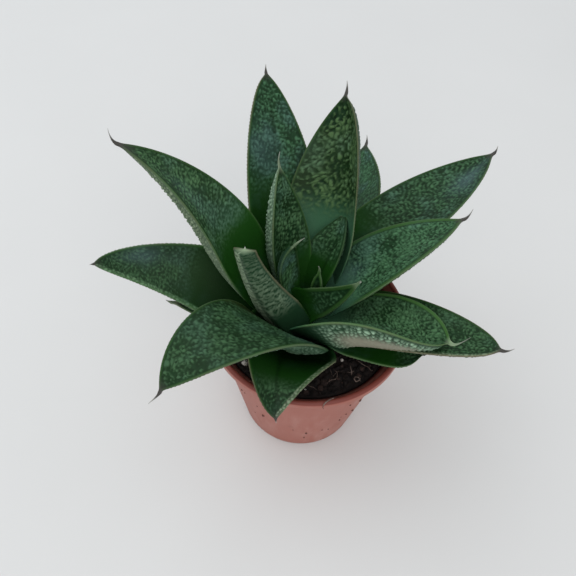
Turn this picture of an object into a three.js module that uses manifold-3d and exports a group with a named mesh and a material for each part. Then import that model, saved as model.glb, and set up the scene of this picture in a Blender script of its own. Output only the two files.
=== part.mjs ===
// A young gasteraloe in a 55 mm nursery pot: pot, soil, stem and one mesh for each leaf.
// Millimetres, +Z up. The origin is the centre of the pot's underside, and the plant's near side is -Y.

import * as THREE from 'three';
import { mergeVertices } from 'three/addons/utils/BufferGeometryUtils.js';
import Module from 'manifold-3d';

const wasm = await Module();
wasm.setup();

// Pot: a thin plastic cone with a flared, rounded lip
const POT_HEIGHT = 46;
const BASE_RADIUS = 18;
const WALL_TOP_RADIUS = 25.1;
const LIP_RADIUS = 27.5;
const LIP_HEIGHT = 3.6;
const LIP_FLARE = 1.3;
const LIP_ROUND = 0.8;
const LIP_STEPS = 6;
const BASE_EDGE = 0.6;
const WALL = 1.1;
const FLOOR = 1.4;
const POT_SIDES = 52;
const DRAIN_COUNT = 5;
const DRAIN_RADIUS = 2.2;
const DRAIN_RING = 11;
const DRAIN_SIDES = 16;
const DRILL_LENGTH = 6;

// Soil: fills the pot to a little under the lip, slightly higher round the stem
const GAP = 0.3;
const SOIL_EDGE_HEIGHT = 42.3;
const SOIL_MIDDLE_HEIGHT = 44;
const SOIL_SIDES = 40;
const SOIL_RINGS = 8;
const SOIL_RIM = 0.5;
const CRUMB_ROOM = 0.9;
const SLOPE_SHARE = 0.6;
const crumbWaves = [
  { x: 2.4, y: -0.9, start: 0, height: 0.25 },
  { x: 1.4, y: 2.3, start: 1, height: 0.25 },
  { x: 0.8, y: -1.1, start: 2, height: 0.3 },
];

// Stem: a short crown in a plain hole in the soil
const STEM_RADIUS = 4.4;
const STEM_TOP = 54.6;
const STEM_SHOULDER = 49;
const STEM_FOOT = 35;
const STEM_SIDES = 16;
const STEM_FOOT_RADIUS = 3.1;
const STEM_TOP_RADIUS = 2.2;
const STEM_BEVEL = 1;

// Leaves: mesh fineness, edges and the raised tubercles
const STATIONS = 19;
const SMALL_STATIONS = 11;
const CUTTER_STATIONS = 14;
const SMALL_LENGTH = 30;
const ACROSS = 6;
const EDGE = 0.7;
const ROOT = 3.5;
const TUBERCLE = 0.3;
const TOOTH = 0.25;
const AWN_HALF = 0.4;
const AWN_END = 0.3;
const TIP_SLIM = 0.35;
const ROOT_SLIM = 0.8;
const KEEL_ROUND = 0.8;
const SLIM_POWER = 0.6;
const TOOTH_SHARE = 0.12;
const FULL_RELIEF = 3;
const SLIVER = 0.03;
const STEP_TO_TIP = 1.25;
const CENTRELINE_STEPS = 240;

const leafDefaults = {
  bend: 0, bow: 0, sweep: 0, roll: 0, twist: 0,
  thick: 4, channel: 0.18, cup: 0, keel: 0.15,
  peak: 0.36, base: 0.6, ogive: 1.9, taper: 0.9, stub: 0,
  awn: 3, lift: 0.3,
};

// Each leaf from its foot on the stem, the youngest first. Angles are in degrees: az is the heading
// from above and sweep its turn on the way to the tip, rise the climb at the foot, bend and bow what
// it gains evenly and ever faster, roll the lean to one side at the foot and twist what that gains.
// peak is where the leaf is widest, base the width at its foot, ogive and taper the shape of its tip,
// and stub the width left at a broken tip. keel is the place of the ridge under the leaf, channel the
// hollow on top and cup what that gains at the foot. awn is the bristle and lift how much it turns up.
const leafTable = [
  { az: 60, rise: 85, length: 10, width: 3, foot: [1, -1, 55], thick: 2 },
  {
    az: 152, rise: 74, bow: 39, sweep: 11, length: 19, width: 8, foot: [-4, 0, 55], roll: 6, twist: -33,
    thick: 3, peak: 0.3, base: 0.7, taper: 0.8, awn: 4.5, lift: 0.1,
  },
  {
    az: 60, rise: 64, bend: -41, bow: -13, length: 22.5, width: 12.5, foot: [-0.4, 3.8, 54.6],
    roll: -21, twist: -21, peak: 0.45, base: 0.65, ogive: 2, taper: 1.15, awn: 1, lift: 0.4,
  },
  {
    az: 109, rise: 68, bend: -20, bow: -5, sweep: 2, length: 34, width: 13.5, foot: [-3.7, 2.8, 53.3],
    roll: 23, twist: 18, thick: 4.5, channel: 0.2, keel: 0.75,
  },
  {
    az: 344, rise: 39, bend: 18, bow: 6, length: 21, width: 8, foot: [-2.3, -3.3, 54.2],
    roll: 61, twist: 6, peak: 0.25, base: 1.3, ogive: 1, awn: 3.5, lift: 0.8,
  },
  {
    az: 172, rise: 58, bow: 22, length: 29, width: 12, foot: [-4.7, -5.3, 50.2], roll: 95,
    twist: -11, keel: 0, peak: 0.25, base: 0.9, ogive: 1, taper: 1.3, stub: 0.45, awn: 0.5,
  },
  {
    az: 87, rise: 63, bend: -37, bow: 4, sweep: -12, length: 52.5, width: 22, foot: [-0.5, 5.2, 52],
    roll: -16, twist: -36, thick: 4.5, channel: 0.5, cup: 0.1, keel: 0, peak: 0.35,
    ogive: 3, taper: 0.75, lift: 0.2,
  },
  {
    az: 16, rise: 54, bend: -53, bow: 10, sweep: 5, length: 43, width: 19, foot: [3.2, 1.8, 52.4],
    twist: -23, base: 0.7, ogive: 2.2, taper: 0.85, awn: 2.5, lift: 0.7,
  },
  {
    az: 154, rise: 75, bend: -23, bow: -23, sweep: 33, length: 61.5, width: 18, foot: [-11.3, 0.8, 49.4],
    roll: -9, twist: 10, thick: 4.5, channel: 0.24, keel: 0.75, base: 0.45, ogive: 1.5, lift: 0.9,
  },
  {
    az: 4, rise: 55, bend: -91, bow: 19, sweep: -36, length: 43.5, width: 23, foot: [-3, -6.1, 50.3],
    roll: -43, twist: 23, thick: 5.5, channel: 0.5, cup: -0.1, keel: -0.15, peak: 0.3, base: 0.35,
    ogive: 3.7, taper: 0.75, awn: 2.5, lift: 1.2,
  },
  {
    az: 214, rise: 72, bend: -41, bow: -89, sweep: 13, length: 55.5, width: 23.5, foot: [-2.5, -8.9, 45.8],
    roll: 30, twist: -36, channel: 0.1, keel: 0.2, peak: 0.16, base: 0.35,
    ogive: 2.8, taper: 1.05, awn: 2, lift: 1.2,
  },
  {
    az: 35, rise: 39, bend: -56, bow: 39, sweep: -2, length: 60.5, width: 21, foot: [1.9, 6, 51.6],
    roll: 5, twist: -25, peak: 0.42, base: 0.75, ogive: 2.5, taper: 0.85, awn: 1.5, lift: 0.7,
  },
  {
    az: 105, rise: 47, bend: -9, bow: -21, sweep: -2, length: 62, width: 20, foot: [-4, 5.7, 49],
    roll: 1, twist: 16, peak: 0.34, taper: 0.75, awn: 2,
  },
  {
    az: 339, rise: 31, bend: -35, bow: 15, sweep: -5, length: 48.5, width: 19, foot: [4.1, 0.5, 46.8],
    roll: 2, twist: -8, peak: 0.32, taper: 0.6, awn: 2.5, lift: 0.7,
  },
  {
    az: 176, rise: 39, bend: -44, bow: -13, length: 52, width: 17.5, foot: [-8.8, -0.5, 47.4],
    roll: -20, twist: -36, peak: 0.4, ogive: 1, taper: 0.65, awn: 1,
  },
  {
    az: 248, rise: 48, bend: -84, bow: -38, sweep: 24, length: 32, width: 25, foot: [-2, -6.3, 48.6],
    roll: -10, twist: -14, thick: 3, channel: 0.4, cup: 0.15, keel: 0.1, peak: 0.24, base: 0.8,
    ogive: 1.3, awn: 1,
  },
  {
    az: 76, rise: 18, bend: -7, length: 51.5, width: 22, foot: [3, 7, 48], roll: -36,
    peak: 0.5, base: 0.5, ogive: 2.1, taper: 1.15, awn: 2.5,
  },
  {
    az: 341, rise: 15, bend: -19, length: 28, width: 15, foot: [4, -4.2, 48.1], roll: 5,
    thick: 3, ogive: 3.6, taper: 0.45, awn: 0.5,
  },
  { az: 183, rise: 20, bend: -9, length: 28.5, width: 10, foot: [-9, -2, 45], thick: 3, taper: 1, awn: 1.5 },
  { az: 130, rise: 18, bend: -8, length: 34, width: 14, foot: [-6, 5, 46], thick: 3.5 },
  { az: 52, rise: 17, bend: -8, length: 30, width: 13, foot: [5, 6, 46], thick: 3.5 },
].map((leaf) => ({ ...leafDefaults, ...leaf }));

const plastic = new THREE.MeshStandardMaterial({ color: 0xa9655a, roughness: 0.55, metalness: 0 });
const peat = new THREE.MeshStandardMaterial({ color: 0x2a1f1a, roughness: 1, metalness: 0 });
const crown = new THREE.MeshStandardMaterial({ color: 0x8f9a72, roughness: 0.8, metalness: 0 });
const leafGreen = new THREE.MeshStandardMaterial({ color: 0x3f5f45, roughness: 0.6, metalness: 0 });

const radians = THREE.MathUtils.degToRad;
const clamp = THREE.MathUtils.clamp;

// Closed meshes and solids

function sixTimesVolume(positions, triangles) {
  const [a, b, c] = [new THREE.Vector3(), new THREE.Vector3(), new THREE.Vector3()];
  let total = 0;
  for (let t = 0; t < triangles.length; t += 3) {
    a.fromBufferAttribute(positions, triangles[t]);
    b.fromBufferAttribute(positions, triangles[t + 1]);
    c.fromBufferAttribute(positions, triangles[t + 2]);
    total += a.dot(b.cross(c));
  }
  return total;
}

// Merged corners, no collapsed triangles, and faces turned outwards.
function closedMesh(geometry) {
  const bare = geometry.clone();
  bare.deleteAttribute('normal');
  bare.deleteAttribute('uv');
  const merged = mergeVertices(bare, 1e-3);
  const corners = merged.index.array;
  let kept = [];
  for (let t = 0; t < corners.length; t += 3) {
    const [a, b, c] = corners.slice(t, t + 3);
    if (a !== b && b !== c && c !== a) kept.push(a, b, c);
  }
  if (sixTimesVolume(merged.attributes.position, kept) < 0) kept = kept.reverse();
  merged.setIndex(kept);
  return merged;
}

function solidOf(geometry) {
  const closed = closedMesh(geometry);
  return new wasm.Manifold(new wasm.Mesh({
    numProp: 3,
    vertProperties: new Float32Array(closed.attributes.position.array),
    triVerts: new Uint32Array(closed.index.array),
  }));
}

function geometryOf(solid) {
  const { vertProperties, triVerts } = solid.getMesh();
  const geometry = new THREE.BufferGeometry();
  geometry.setAttribute('position', new THREE.BufferAttribute(new Float32Array(vertProperties), 3));
  geometry.setIndex(new THREE.BufferAttribute(new Uint32Array(triVerts), 1));
  geometry.computeVertexNormals();
  return geometry;
}

// A shape turned round the Z axis from [radius, height] points.
function turned(points, sides) {
  const profile = points.map(([radius, height]) => new THREE.Vector2(radius, height));
  return closedMesh(new THREE.LatheGeometry(profile, sides).rotateX(Math.PI / 2));
}

// Pot, soil and stem

function potSolid() {
  const wallTop = POT_HEIGHT - LIP_HEIGHT;
  const lipEdge = [];
  for (let step = 0; step <= LIP_STEPS; step += 1) {
    const turn = step * Math.PI / LIP_STEPS;
    lipEdge.push([
      LIP_RADIUS - LIP_ROUND + LIP_ROUND * Math.cos(turn),
      POT_HEIGHT - LIP_ROUND + LIP_ROUND * Math.sin(turn),
    ]);
  }
  let pot = solidOf(turned([
    [0, 0],
    [BASE_RADIUS - BASE_EDGE, 0],
    [BASE_RADIUS, BASE_EDGE],
    [WALL_TOP_RADIUS, wallTop],
    [LIP_RADIUS, wallTop + LIP_FLARE],
    ...lipEdge,
    [WALL_TOP_RADIUS - WALL, wallTop],
    [BASE_RADIUS - WALL, FLOOR],
    [0, FLOOR],
  ], POT_SIDES));
  for (let hole = 0; hole < DRAIN_COUNT; hole += 1) {
    const turn = (hole + 0.5) * 2 * Math.PI / DRAIN_COUNT;
    const drill = new THREE.CylinderGeometry(DRAIN_RADIUS, DRAIN_RADIUS, DRILL_LENGTH, DRAIN_SIDES);
    drill.rotateX(Math.PI / 2);
    drill.translate(DRAIN_RING * Math.cos(turn), DRAIN_RING * Math.sin(turn), 0);
    pot = pot.subtract(solidOf(drill));
  }
  return pot;
}

// Crumbs of peat: a few crossing waves of different length.
function crumbHeight(x, y) {
  return crumbWaves.reduce((sum, w) => sum + w.height * Math.sin(w.x * x + w.y * y + w.start), 0);
}

function soilHeight(share) {
  return THREE.MathUtils.lerp(SOIL_EDGE_HEIGHT, SOIL_MIDDLE_HEIGHT, Math.sqrt(share));
}

function soilSolid() {
  const floorRadius = BASE_RADIUS - WALL - GAP;
  const edgeRadius = WALL_TOP_RADIUS - WALL - GAP;
  const hole = STEM_RADIUS + GAP;
  const points = [[0, FLOOR + GAP], [floorRadius, FLOOR + GAP]];
  for (let ring = 0; ring <= SOIL_RINGS; ring += 1) {
    const share = ring / SOIL_RINGS;
    points.push([THREE.MathUtils.lerp(edgeRadius, hole, share), soilHeight(share)]);
  }
  points.push([hole, STEM_FOOT - GAP], [0, STEM_FOOT - GAP]);
  const soil = turned(points, SOIL_SIDES);
  const position = soil.attributes.position;
  for (let i = 0; i < position.count; i += 1) {
    const [x, y, z] = [position.getX(i), position.getY(i), position.getZ(i)];
    const radius = Math.hypot(x, y);
    const loose = radius > hole + SOIL_RIM && radius < edgeRadius - SOIL_RIM && z > SOIL_EDGE_HEIGHT;
    if (loose) position.setZ(i, z + crumbHeight(x, y));
  }
  return solidOf(soil);
}

// What the leaves keep clear of: the soil with room for its crumbs.
function soilClearance() {
  const room = CRUMB_ROOM + GAP;
  const edgeRadius = WALL_TOP_RADIUS - WALL - GAP;
  return solidOf(turned([
    [0, STEM_FOOT],
    [edgeRadius, STEM_FOOT],
    [edgeRadius, soilHeight(0) + room],
    [edgeRadius / 2, soilHeight(SLOPE_SHARE) + room],
    [STEM_RADIUS, soilHeight(1) + room],
    [0, soilHeight(1) + room],
  ], SOIL_SIDES));
}

function stemGeometry(grow) {
  return turned([
    [0, STEM_FOOT],
    [STEM_FOOT_RADIUS + grow, STEM_FOOT],
    [STEM_RADIUS + grow, STEM_FOOT + STEM_RADIUS],
    [STEM_RADIUS + grow, STEM_SHOULDER],
    [STEM_FOOT_RADIUS + grow, STEM_TOP - STEM_BEVEL],
    [STEM_TOP_RADIUS + grow, STEM_TOP + grow],
    [0, STEM_TOP + grow],
  ], STEM_SIDES);
}

// Leaves

// Points and headings along the middle of the leaf, at even steps.
function leafPath(leaf) {
  const point = new THREE.Vector3(...leaf.foot);
  const steps = [];
  for (let i = 0; i <= CENTRELINE_STEPS; i += 1) {
    const share = i / CENTRELINE_STEPS;
    const az = radians(leaf.az + leaf.sweep * share);
    const rise = radians(leaf.rise + leaf.bend * share + leaf.bow * share * share);
    const ahead = new THREE.Vector3(
      Math.cos(rise) * Math.cos(az),
      Math.cos(rise) * Math.sin(az),
      Math.sin(rise),
    );
    if (i > 0) point.addScaledVector(ahead, leaf.length / CENTRELINE_STEPS);
    const level = new THREE.Vector3(-Math.sin(az), Math.cos(az), 0);
    steps.push({ point: point.clone(), ahead, level });
  }
  return steps;
}

// The leaf's frame at a share of its length: ahead, to its left, and out of its upper face.
function leafFrame(leaf, path, share) {
  const { point, ahead, level } = path[Math.round(clamp(share, 0, 1) * CENTRELINE_STEPS)];
  const upright = new THREE.Vector3().crossVectors(ahead, level);
  const roll = radians(leaf.roll + leaf.twist * share);
  const left = level.clone().multiplyScalar(Math.cos(roll)).addScaledVector(upright, Math.sin(roll));
  const up = upright.clone().multiplyScalar(Math.cos(roll)).addScaledVector(level, -Math.sin(roll));
  return { point: point.clone(), ahead, left, up };
}

function halfWidth(leaf, share) {
  if (share < leaf.peak) {
    const climb = Math.sin(clamp(share / leaf.peak, 0, 1) * Math.PI / 2);
    return leaf.width / 2 * (leaf.base + (1 - leaf.base) * climb);
  }
  const past = (share - leaf.peak) / (1 - leaf.peak);
  const blade = leaf.stub + (1 - leaf.stub) * (1 - past ** leaf.ogive) ** leaf.taper;
  return Math.max(leaf.width / 2 * blade, AWN_HALF);
}

function leafThickness(leaf, share, half) {
  const slim = (half / (leaf.width / 2)) ** SLIM_POWER;
  return Math.max(leaf.thick * (1 - TIP_SLIM * share) * slim, EDGE);
}

// Which corners of a leaf's net stand up as tubercles: every other one, as on a chessboard.
function raised(column, station) {
  const place = column % (ACROSS + 1);
  return place > 0 && place < ACROSS && (place + station) % 2 === 1;
}

// One ring round the leaf: the upper face from the right margin to the left, then back underneath.
// channel is its hollow there, and station is null where the ring is smooth.
function leafRing(leaf, frame, { half, thickness, channel, grow, station }) {
  const ring = [];
  const tooth = station !== null && station % 2 === 1 ? Math.min(TOOTH, half * TOOTH_SHARE) : 0;
  for (let column = 0; column < 2 * (ACROSS + 1); column += 1) {
    const face = column <= ACROSS ? 1 : -1;
    const across = face * (2 * (column % (ACROSS + 1)) / ACROSS - 1);
    const bump = station !== null && raised(column, station) ? TUBERCLE * Math.min(half / FULL_RELIEF, 1) : 0;
    const side = across > leaf.keel ? 1 - leaf.keel : 1 + leaf.keel;
    const ridge = (1 - Math.abs(across - leaf.keel) / side) ** KEEL_ROUND;
    const aside = across * (half + grow + tooth);
    const hollow = Math.max(channel * half * (1 - (aside / half) ** 2), -grow - tooth);
    const depth = face > 0 ? 0 : EDGE + Math.max(thickness - EDGE, 0) * ridge;
    ring.push(frame.point.clone()
      .addScaledVector(frame.left, aside)
      .addScaledVector(frame.up, -hollow - depth + face * (grow + bump)));
  }
  return ring;
}

function leafRings(leaf, grow) {
  const path = leafPath(leaf);
  const full = leaf.length < SMALL_LENGTH ? SMALL_STATIONS : STATIONS;
  const stations = grow > 0 ? CUTTER_STATIONS : full;
  const foot = leafFrame(leaf, path, 0);
  foot.point.addScaledVector(foot.ahead, -ROOT - grow);
  const footHalf = halfWidth(leaf, 0);
  const rings = [leafRing(leaf, foot, {
    half: footHalf * ROOT_SLIM,
    thickness: leafThickness(leaf, 0, footHalf),
    channel: leaf.channel + leaf.cup,
    grow,
    station: null,
  })];
  for (let station = 0; station <= stations; station += 1) {
    const share = 1 - (1 - station / stations) ** STEP_TO_TIP;
    const half = halfWidth(leaf, share);
    const textured = grow === 0 && station < stations - 1;
    rings.push(leafRing(leaf, leafFrame(leaf, path, share), {
      half,
      thickness: leafThickness(leaf, share, half),
      channel: leaf.channel + leaf.cup * (1 - share) ** 2,
      grow,
      station: textured ? station : null,
    }));
  }
  const tip = leafFrame(leaf, path, 1);
  tip.point.addScaledVector(tip.ahead, leaf.awn + grow).addScaledVector(tip.up, leaf.awn * leaf.lift);
  rings.push(leafRing(leaf, tip, { half: AWN_END, thickness: EDGE, channel: 0, grow, station: null }));
  return rings;
}

function leafSolid(leaf, grow = 0) {
  const rings = leafRings(leaf, grow);
  const around = rings[0].length;
  const triangles = [];
  for (let j = 0; j + 1 < rings.length; j += 1) {
    for (let i = 0; i < around; i += 1) {
      const [a, b] = [j * around + i, j * around + (i + 1) % around];
      const [c, d] = [b + around, a + around];
      if ((i % (ACROSS + 1) + j) % 2 === 0) triangles.push(a, b, d, b, c, d);
      else triangles.push(a, b, c, a, c, d);
    }
  }
  const last = (rings.length - 1) * around;
  for (let i = 0; i < ACROSS; i += 1) {
    const [top, under] = [i, around - 1 - i];
    triangles.push(top, under, top + 1, top + 1, under, under - 1);
    triangles.push(last + top, last + top + 1, last + under, last + top + 1, last + under - 1, last + under);
  }
  const geometry = new THREE.BufferGeometry().setFromPoints(rings.flat());
  geometry.setIndex(triangles);
  return solidOf(geometry);
}

// The largest piece, when a cut leaves crumbs.
function largest(solid) {
  return solid.decompose().reduce((best, piece) => (piece.volume() > best.volume() ? piece : best));
}

function boxesMeet(a, b) {
  const [p, q] = [a.boundingBox(), b.boundingBox()];
  return [0, 1, 2].every((k) => p.min[k] <= q.max[k] && q.min[k] <= p.max[k]);
}

// Assembly: every piece is cut clear of the ones inside it.

const plant = new THREE.Group();

function addPiece(name, geometry, material) {
  const mesh = new THREE.Mesh(geometry, material);
  mesh.name = name;
  plant.add(mesh);
}

const pot = potSolid();
const soil = soilSolid();
addPiece('pot', geometryOf(pot), plastic);
addPiece('soil', geometryOf(soil), peat);
addPiece('stem', stemGeometry(0), crown);

const cutters = [solidOf(stemGeometry(GAP)), soilClearance()];
leafTable.forEach((leaf, index) => {
  let solid = leafSolid(leaf);
  for (const cutter of cutters) {
    if (boxesMeet(solid, cutter)) solid = largest(solid.subtract(cutter));
  }
  cutters.push(leafSolid(leaf, GAP + TUBERCLE));
  addPiece(`leaf_${String(index + 1).padStart(2, '0')}`, geometryOf(solid.simplify(SLIVER)), leafGreen);
});

export default plant;
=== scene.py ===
"""Looks of a young gasteraloe in a 55 mm nursery pot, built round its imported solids.

Shapes are worked out in millimetres, as in the solids, and made in metres. +Z is up, the origin is
the centre of the pot's underside, and the plant's near side is -Y.
"""

import math
from types import SimpleNamespace

import bmesh
import bpy
import numpy as np
from mathutils import Matrix, Vector


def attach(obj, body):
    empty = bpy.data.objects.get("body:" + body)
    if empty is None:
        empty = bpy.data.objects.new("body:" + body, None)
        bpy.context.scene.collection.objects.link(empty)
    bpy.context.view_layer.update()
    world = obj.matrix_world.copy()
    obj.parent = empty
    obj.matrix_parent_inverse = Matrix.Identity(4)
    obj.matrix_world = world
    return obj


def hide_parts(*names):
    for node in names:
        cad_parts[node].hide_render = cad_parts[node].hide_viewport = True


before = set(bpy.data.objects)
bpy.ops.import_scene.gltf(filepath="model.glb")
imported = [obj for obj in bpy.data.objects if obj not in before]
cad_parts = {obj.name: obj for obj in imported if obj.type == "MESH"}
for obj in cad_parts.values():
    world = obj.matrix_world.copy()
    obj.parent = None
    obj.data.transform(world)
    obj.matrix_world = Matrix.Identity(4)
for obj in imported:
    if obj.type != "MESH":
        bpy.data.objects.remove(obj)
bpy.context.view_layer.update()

MM = 0.001
CIRCLE = 2 * math.pi

# Camera: where the photograph was taken from, in millimetres and degrees
CAMERA_PLACE = (-6.0, -100.4, 190.6)
CAMERA_PITCH = 53.0
CAMERA_ROLL = 3.8
LENS = 40.0
SENSOR = 36.0
CLIP_START = 0.01

# Pot. LIP_CURVE is how far out and up from the wall's top the flare under the lip goes.
POT_HEIGHT = 46
BASE_RADIUS = 18
WALL_TOP_RADIUS = 25.1
LIP_RADIUS = 27.5
LIP_HEIGHT = 3.6
LIP_ROUND = 0.8
LIP_CURVE = [(0.9, 0.35), (2.05, 1.0), (2.4, 1.5)]
BASE_EDGE = 0.6
WALL = 1.1
FLOOR = 1.4
POT_SIDES = 192
WALL_ROWS = 40
INNER_ROWS = 24
LIP_ROWS = 11
FLOOR_ROWS = 8
CENTRE_RADIUS = 0.3
DRAIN_COUNT = 5
DRAIN_RADIUS = 2.2
DRAIN_RING = 11
DRAIN_SIDES = 32
WELD = 0.002

# Soil. Its crumbs fade out over WALL_CALM by the pot's wall and HOLE_CALM by the stem's hole.
GAP = 0.3
SOIL_EDGE_HEIGHT = 42.3
SOIL_MIDDLE_HEIGHT = 44
SOIL_SIDES = 360
SOIL_ROWS = 64
SOIL_CENTRE = 0.4
WALL_CALM = 1.2
HOLE_CALM = 0.6
EDGE_SLACK = 0.01

# Stem
STEM_RADIUS = 4.4
STEM_TOP = 54.6
STEM_SHOULDER = 49
STEM_FOOT = 35
STEM_BEVEL = 1
STEM_SLIM = 0.7
CROWN_SLIM = 0.5
STEM_ROWS = 60
STEM_SIDES = 64
STEM_RIBS = 7
RIB_DEPTH = 0.03

# Leaves: ends, edges and the fineness of their nets
ROOT = 3.5
ROOT_SLIM = 0.8
ROOT_ROWS = 7
EDGE = 0.6
TIP_SLIM = 0.35
SLIM_POWER = 0.6
KEEL_POWER = 0.8
KEEL_ROUND = 0.07
CREASE_ROUND = 0.08
AWN_HALF = 0.34
AWN_END = 0.05
AWN_POWER = 0.8
AWN_BLEND = 1.6
AWN_ROWS = 15
HOLLOW_FADE = 0.3
STEP_TO_TIP = 1.25
PATH_STEPS = 240
FACE_STEPS = 800
CELL = 0.29
LEAST_COLUMNS = 8

# Teeth along the margins. They stick out by TOOTH_LOW between their points and TOOTH_RISE more at
# them, where half the blade is TOOTH_FULL wide or more.
TOOTH_PITCH = 0.95
TOOTH_WANDER = 0.25
TOOTH_LOW = 0.10
TOOTH_RISE = 0.18
TOOTH_FULL = 3

# Seeds of a leaf's patterns, to which its number is added
MAZE_SEED = 10
SPOT_SEED = 30
BEAD_SEED = 50
LINE_SEED = 70
DRIFT_SEED = 90
TEETH_SEED = 100

# Tubercles: how their rows wander, how far spots and beads are drawn out, how wide the gap between
# two is and how much of a maze, or of dark lines, they make up
WANDER = 0.3
WANDER_ALONG = 0.9
WANDER_ACROSS = 0.7
PATTERN_SHIFT = 20
SPOT_PITCH = 1.1
SPOT_LENGTH = 2.2
SPOT_GAP = 0.4
BEAD_LENGTH = 1.6
BEAD_GAP = 0.7
LINE_SPREAD = 0.45
DRIFT_PITCH = 8
DRIFT_DEPTH = 0.45
COVER_SPAN = (-0.7, 0.6)
COVER_TONE = 1.4
LINE_SPAN = (-1.0, 0.2)
LINE_TONE = 0.8

# Where the parts of the skin fade in. HALF is half the blade's width and INSET the distance from
# the margin, in millimetres, and the others are shares of the length or of half the width.
BLADE_HALF = (0.8, 2.4)
UNDER_HALF = (1.5, 4.5)
UNDER_INSET = (0.2, 0.6)
LINE_INSET = (0.25, 0.05)
SHADE_INSET = (0.0, 1.2)
BAND_FADE = 0.7
ROUGH_FADE = 0.15
BASE_FADE = 0.2
MARGIN_LENGTH = (0.1, 0.3)
DEEP_LENGTH = (0.65, 0.25)
DRY_LENGTH = (0.86, 1.0)
BLUSH_ACROSS = (0.75, 0.45)
BLUSH_LENGTH = (0.25, 0.45)
BLUSH_END = (0.95, 0.75)
SIDE_FADE = 0.08
CREASE_FADE = 0.1
CREASE_WIDTH = 0.07
SHEEN_LENGTH = 0.1
SHEEN_WIDTH = 0.4
AWN_COLOUR_HALF = 2.4
AWN_COLOUR_SHARE = 0.12
DARKEST_SHADE = 0.9

# The form of a leaf where its entry says nothing else, as in the solids. Here fold turns the hollow
# into a crease at the place crease, curl lifts the bristle's end, pinch is how gradually the blade
# turns into the bristle, stout how thick that is and teeth how far the margin's teeth stick out.
leaf_form = dict(
    bend=0, bow=0, sweep=0, roll=0, twist=0, thick=4, channel=0.18, cup=0, keel=0.15, peak=0.36,
    base=0.6, ogive=1.9, taper=0.9, stub=0, awn=3, lift=0.3, curl=0, fold=0, crease=0, pinch=1.2,
    stout=1.0, teeth=1.0,
)

# The look of its skin. smooth is the share of its length without tubercles, and slant makes that
# longer on the right. relief and beads are how far tubercles stand up above and underneath, pitch
# and bead_pitch how far apart they are, pale how much of the upper face they cover and faint how
# weakly they show. under_pale is how pale the beads are, and wiggles draws dark lines instead.
# bloom is bluish wax, and sheen is a patch of painted reflection, bluish too: its share of the
# length, its place across and its strength. olive is a warm tint. band is the width of the bare
# band inside the margin and bright its light green. side is the place underneath where a pale band
# begins, from the right when negative, fringe the width of one along the left margin above, or the
# right one when negative, and cream how warm either is. blush is a bare keel, young a pale bristle,
# base_pale a light base, tan a tanned one, dry a dead tip, brown a brown margin and line how clear
# that is. shade, deep and dusk are painted shade: shade over the upper face, deep at its base and
# dusk on the side left of the crease.
leaf_look = dict(
    smooth=0.25, slant=0, relief=0.2, beads=0.25, pitch=1.0, bead_pitch=0.95, pale=0, faint=0.3,
    under_pale=0.5, wiggles=0, bloom=0.3, sheen=(0.5, 0, 0), olive=0.3, band=0.4, bright=0.3,
    side=0, fringe=0, cream=1.0, blush=0, young=0, base_pale=0, tan=0, dry=0, brown=0.3, line=1.0,
    shade=0, deep=0, dusk=0,
)

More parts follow.
